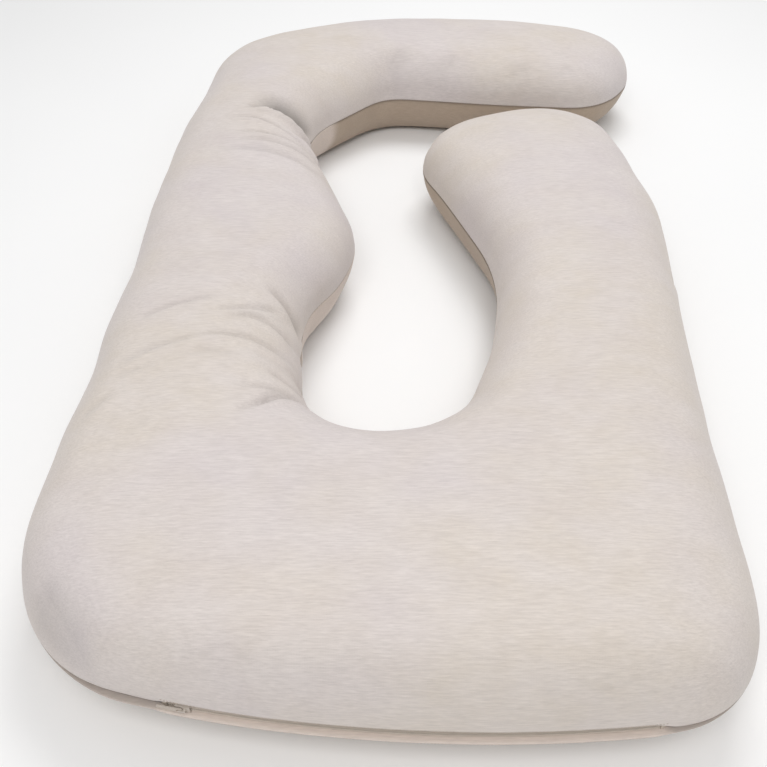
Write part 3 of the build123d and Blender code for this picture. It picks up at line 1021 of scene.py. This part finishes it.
class Shading:
    """Builds one material's nodes. stored is False for a CAD node, which has no stored places."""

    def __init__(self, name, stored=True):
        self.stored = stored
        self.material = bpy.data.materials.new(name)
        self.material.use_nodes = True
        self.tree = self.material.node_tree
        self.tree.nodes.clear()
        self.output = self.add("ShaderNodeOutputMaterial")
        self.surface = self.add("ShaderNodeBsdfPrincipled")
        self.join(self.surface.outputs["BSDF"], self.output.inputs["Surface"])

    def add(self, kind, **settings):
        made = self.tree.nodes.new(kind)
        for key, value in settings.items():
            setattr(made, key, value)
        return made

    def join(self, source, target):
        self.tree.links.new(source, target)

    def place(self, stretch=(1, 1, 1)):
        """The point's place at rest, stretched."""
        if self.stored:
            place = self.add("ShaderNodeAttribute", attribute_name="cloth_place").outputs["Vector"]
        else:
            place = self.add("ShaderNodeTexCoord").outputs["Object"]
        mapped = self.add("ShaderNodeMapping")
        mapped.inputs["Scale"].default_value = stretch
        self.join(place, mapped.inputs["Vector"])
        return mapped.outputs["Vector"]

    def share(self, name):
        """A share that the mesh stores for each point."""
        return self.add("ShaderNodeAttribute", attribute_name=name).outputs["Fac"]

    def clouds(self, vector, scale, detail=3, roughness=0.5):
        made = self.add("ShaderNodeTexNoise")
        made.inputs["Scale"].default_value = scale
        made.inputs["Detail"].default_value = detail
        made.inputs["Roughness"].default_value = roughness
        self.join(vector, made.inputs["Vector"])
        return made.outputs["Fac"]

    def bands(self, vector, scale, direction, distortion=0.0):
        made = self.add("ShaderNodeTexWave", bands_direction=direction)
        made.inputs["Scale"].default_value = scale
        made.inputs["Distortion"].default_value = distortion
        self.join(vector, made.inputs["Vector"])
        return made.outputs["Fac"]

    def ramp(self, value, stops):
        made = self.add("ShaderNodeValToRGB")
        points = made.color_ramp.elements
        points[0].position, points[0].color = stops[0][0], (*stops[0][1], 1)
        points[1].position, points[1].color = stops[-1][0], (*stops[-1][1], 1)
        for position, color in stops[1:-1]:
            points.new(position).color = (*color, 1)
        self.join(value, made.inputs["Fac"])
        return made.outputs["Color"]

    def spread(self, value, low, high, to_low, to_high):
        made = self.add("ShaderNodeMapRange")
        for name, number in zip(("From Min", "From Max", "To Min", "To Max"), (low, high, to_low, to_high)):
            made.inputs[name].default_value = number
        self.join(value, made.inputs["Value"])
        return made.outputs["Result"]

    def math(self, operation, one, other):
        made = self.add("ShaderNodeMath", operation=operation)
        for socket, value in zip(made.inputs, (one, other)):
            if isinstance(value, (int, float)):
                socket.default_value = value
            else:
                self.join(value, socket)
        return made.outputs["Value"]

    def mix(self, share, one, other, blend_type="MIX"):
        made = self.add("ShaderNodeMix", data_type="RGBA", blend_type=blend_type)
        for socket, value in ((made.inputs[0], share), (made.inputs[6], one), (made.inputs[7], other)):
            if isinstance(value, (int, float)):
                socket.default_value = value
            elif isinstance(value, tuple):
                socket.default_value = (*value, 1)
            else:
                self.join(value, socket)
        return made.outputs[2]

    def varied(self, value, low, high):
        """A number from low to high that follows a noise."""
        return self.spread(value, *NOISE_RANGE, low, high)

    def paint(self, color, tone):
        """The surface's colour, made lighter or darker by a number about 1."""
        grey = self.add("ShaderNodeCombineXYZ")
        for socket in grey.inputs:
            self.join(tone, socket)
        painted = self.mix(1.0, color, grey.outputs["Vector"], "MULTIPLY")
        self.join(painted, self.surface.inputs["Base Color"])

    def relief(self, height, distance, strength=1.0):
        made = self.add("ShaderNodeBump")
        made.inputs["Strength"].default_value = strength
        made.inputs["Distance"].default_value = distance
        self.join(height, made.inputs["Height"])
        self.join(made.outputs["Normal"], self.surface.inputs["Normal"])

    def plain(self, **values):
        """Sockets that are the same all over."""
        for name, value in values.items():
            self.surface.inputs[name.replace("_", " ").title().replace("Ior", "IOR")].default_value = value


CREASE_SHADE = 0.70  # painted shade: how much darker the cloth's colour is painted where it is creased deepest
PAINTED_LIGHT_COLOR = (0.660, 0.570, 0.510)


def jersey(name, cool, warm, pale):
    """Heathered jersey: slubs along X, clouds of cooler and warmer yarn, fine ribs and a soft nap; its
    colour carries the painted shade and painted light that the mesh stores.
    """
    made = Shading(name)
    warmth = made.ramp(made.clouds(made.place(), 4.5, 3, 0.55), [(0.38, cool), (0.62, warm)])
    cloud = made.varied(made.clouds(made.place((1, 1.6, 1)), 17, 4, 0.6), 0.0, 1.0)
    cloth = made.mix(made.math("MULTIPLY", cloud, 0.55), warmth, pale)
    # painted light: towards a paler, lit colour where the mesh stores painted light
    color = made.mix(made.share("painted_light_share"), cloth, PAINTED_LIGHT_COLOR)
    slub = made.clouds(made.place((55, 620, 620)), 1.0, 3, 0.65)
    fleck = made.clouds(made.place((130, 1500, 1500)), 1.0, 2, 0.6)
    streak = made.math("ADD", made.varied(slub, 0.915, 1.075), made.varied(fleck, -0.03, 0.03))
    # painted shade: the colour is darkened where the mesh stores crease and seam shade
    shade = made.spread(made.share("crease_painted_shade"), 0.0, 1.0, 1.0, 1 - CREASE_SHADE)
    made.paint(color, made.math("MULTIPLY", streak, shade))
    made.join(made.varied(slub, 0.95, 0.80), made.surface.inputs["Roughness"])
    ribs = made.bands(made.place(), 230, "X", 1.5)
    height = made.math("ADD", made.math("MULTIPLY", ribs, 0.08), made.math("MULTIPLY", slub, 0.92))
    made.relief(height, 0.0007, 0.5)
    made.plain(sheen_weight=0.22, sheen_roughness=0.5, specular_ior_level=0.25)
    made.surface.inputs["Sheen Tint"].default_value = (1.0, 0.97, 0.95, 1)
    return made.material


def woven(name, color, pitch, contrast=0.12, stored=True, roughness=0.85):
    """A plain weave of two crossing sets of threads."""
    made = Shading(name, stored)
    vector = made.place()
    warp = made.bands(vector, 1 / pitch, "X", 0.4)
    weft = made.bands(vector, 1 / pitch, "Z", 0.4)
    height = made.math("MAXIMUM", warp, weft)
    weave = made.spread(height, 0, 1, 1 - contrast, 1)
    yarn = made.clouds(made.place((90, 700, 700)), 1.0, 3, 0.6)
    made.paint(color, made.math("MULTIPLY", weave, made.varied(yarn, 0.95, 1.05)))
    made.relief(height, pitch * 0.2, 0.6)
    made.plain(roughness=roughness, sheen_weight=0.12, specular_ior_level=0.3)
    return made.material


def twisted(name, color, stored=True):
    """Sewing thread: a slanting twist, a little sheen and uneven dye."""
    made = Shading(name, stored)
    twist = made.bands(made.place((1, 0.6, 1)), 420, "DIAGONAL", 0.5)
    dye = made.clouds(made.place(), 160, 2, 0.5)
    turns = made.spread(twist, 0, 1, 0.86, 1.04)
    made.paint(color, made.math("MULTIPLY", turns, made.varied(dye, 0.95, 1.05)))
    made.relief(twist, 0.0001, 0.6)
    made.plain(roughness=0.55, sheen_weight=0.2)
    return made.material


def moulded(name, color, stored=True):
    """Polyester coil: satin plastic, its dye a little uneven."""
    made = Shading(name, stored)
    dye = made.clouds(made.place(), 240, 3, 0.5)
    made.paint(color, made.varied(dye, 0.93, 1.05))
    made.join(made.varied(dye, 0.42, 0.55), made.surface.inputs["Roughness"])
    made.relief(dye, 0.00004, 0.5)
    return made.material


def enamelled(name, color, bare):
    """Painted zinc: a low gloss, tiny pits, and paler metal where the edges are worn."""
    made = Shading(name, stored=False)
    pits = made.clouds(made.place(), 900, 2, 0.5)
    worn = made.add("ShaderNodeNewGeometry").outputs["Pointiness"]
    edge = made.math("MULTIPLY", made.spread(worn, 0.52, 0.60, 0.0, 0.7), made.clouds(made.place(), 500, 2))
    made.join(made.mix(edge, color, bare), made.surface.inputs["Base Color"])
    made.join(edge, made.surface.inputs["Metallic"])
    made.join(made.varied(pits, 0.30, 0.42), made.surface.inputs["Roughness"])
    made.relief(pits, 0.00006, 0.5)
    made.plain(coat_weight=0.2, coat_roughness=0.25)
    return made.material


def fibre(name, color):
    """Loose polyester fibre: tangled strands, soft and nearly white."""
    made = Shading(name)
    strands = made.clouds(made.place((1, 1, 2)), 140, 6, 0.75)
    tufts = made.clouds(made.place(), 30, 3, 0.6)
    tone = made.math("MULTIPLY", made.varied(strands, 0.85, 1.05), made.varied(tufts, 0.94, 1.04))
    made.paint(color, tone)
    made.relief(strands, 0.002, 0.8)
    made.plain(roughness=0.95, sheen_weight=0.4)
    return made.material


JERSEY_COOL = (0.610, 0.553, 0.545)
JERSEY_WARM = (0.622, 0.558, 0.500)
JERSEY_PALE = (0.675, 0.622, 0.598)
# painted shade: the lower panel is the same jersey as the upper, its colours darkened to stand for the
# shade it lies in, facing the floor
UNDER_SHADED_COOL = (0.405, 0.322, 0.252)
UNDER_SHADED_WARM = (0.420, 0.330, 0.246)
UNDER_SHADED_PALE = (0.465, 0.375, 0.297)

top_jersey = jersey("top_jersey", JERSEY_COOL, JERSEY_WARM, JERSEY_PALE)
shaded_under_jersey = jersey("shaded_under_jersey", UNDER_SHADED_COOL, UNDER_SHADED_WARM, UNDER_SHADED_PALE)
tape_weave = woven("tape_weave", (0.660, 0.570, 0.480), 0.0009, 0.2, stored=False)
coil_plastic = moulded("coil_plastic", (0.760, 0.680, 0.600))
stop_plastic = moulded("stop_plastic", (0.520, 0.450, 0.380), stored=False)
enamel = enamelled("zip_enamel", (0.500, 0.430, 0.365), (0.62, 0.60, 0.57))
cover_thread = twisted("cover_thread", (0.360, 0.300, 0.250))
stitch_thread = twisted("stitch_thread", (0.520, 0.450, 0.390))
casing_thread = twisted("casing_thread", (0.820, 0.800, 0.780))
closing_thread = twisted("closing_thread", (0.820, 0.800, 0.780), stored=False)
casing_weave = woven("casing_weave", (0.800, 0.785, 0.765), 0.0008, 0.1)
label_satin = woven("label_satin", (0.820, 0.810, 0.790), 0.0005, 0.06, stored=False, roughness=0.45)
fibre_white = fibre("fibre_white", (0.860, 0.855, 0.845))


def dress(piece, material):
    """Gives a piece its material."""
    piece.data.materials.clear()
    piece.data.materials.append(material)


dress(cover_top, top_jersey)
dress(cover_bottom, shaded_under_jersey)
dress(casing_top, casing_weave)
dress(casing_bottom, casing_weave)
dress(fill, fibre_white)
dress(zip_upper_coil, coil_plastic)
dress(zip_lower_coil, coil_plastic)
dress(upper_stitches, stitch_thread)
dress(lower_stitches, stitch_thread)
dress(cover_seam, cover_thread)
dress(casing_seam_piece, casing_thread)

CARRIED_OVER = {
    "zip_upper_tape": tape_weave,
    "zip_lower_tape": tape_weave,
    "zip_top_stops": stop_plastic,
    "zip_bottom_stop": stop_plastic,
    "zip_slider": enamel,
    "zip_pull_tab": enamel,
    "care_label": label_satin,
    "casing_closing_stitching": closing_thread,
}
for name, material in CARRIED_OVER.items():
    nodes[name].data.materials.clear()
    nodes[name].data.materials.append(material)


# ---- which CAD nodes the pieces stand for, and what they move with ----
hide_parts("cover_top_panel")
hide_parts("cover_bottom_panel")
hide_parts("cover_seam_stitching")
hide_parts("casing_top_panel")
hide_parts("casing_bottom_panel")
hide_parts("casing_seam_stitching")
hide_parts("body_fill", "head_arm_fill")
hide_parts("zip_upper_coil")
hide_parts("zip_lower_coil")
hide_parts("zip_upper_stitching")
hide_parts("zip_lower_stitching")

for piece in (cover_top, cover_bottom, cover_seam, casing_top, casing_bottom, casing_seam_piece, fill):
    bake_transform(piece)
for piece in (zip_upper_coil, zip_lower_coil, upper_stitches, lower_stitches):
    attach(piece, "pillow_body")


# ---- floor, light and camera ----
scene = bpy.context.scene
scene.view_settings.view_transform = "Standard"


def floor_surface():
    """A pale studio floor with a barely uneven tone."""
    made = Shading("studio_floor", stored=False)
    tone = made.ramp(made.clouds(made.place(), 1.5, 2), [(0.3, (0.90,) * 3), (0.7, (0.92,) * 3)])
    made.join(tone, made.surface.inputs["Base Color"])
    made.plain(roughness=0.9)
    return made.material


floor = mesh_object("floor", [(-6, -6, 0), (6, -6, 0), (6, 6, 0), (-6, 6, 0)], [(0, 1, 2, 3)])
floor.data.materials.append(floor_surface())

world = bpy.data.worlds.new("studio")
scene.world = world
world.use_nodes = True
world.node_tree.nodes["Background"].inputs["Color"].default_value = (1, 1, 1, 1)
world.node_tree.nodes["Background"].inputs["Strength"].default_value = 0.5


def softbox(name, place, target, size, power):
    """A soft rectangular light that faces a target."""
    light = bpy.data.lights.new(name, "AREA")
    light.shape = "RECTANGLE"
    light.size, light.size_y = size
    light.energy = power
    made = bpy.data.objects.new(name, light)
    made.location = place
    made.rotation_euler = (Vector(target) - Vector(place)).to_track_quat("-Z", "Y").to_euler()
    scene.collection.objects.link(made)


softbox("rear", (0.35, 1.1, 2.3), (0, 0, 0), (1.3, 1.1), 26)
softbox("front", (-0.15, -1.5, 2.2), (0, -0.2, 0), (1.6, 1.0), 25)

CAMERA_PLACE = (-0.0352, -1.0069, 0.8466)
CAMERA_DOWN = 45.38
camera_data = bpy.data.cameras.new("camera")
camera_data.sensor_width = 36
camera_data.lens = 42.13
camera = bpy.data.objects.new("camera", camera_data)
camera.location = CAMERA_PLACE
camera.rotation_euler = (radians(90 - CAMERA_DOWN), 0, 0)
scene.collection.objects.link(camera)
scene.camera = camera
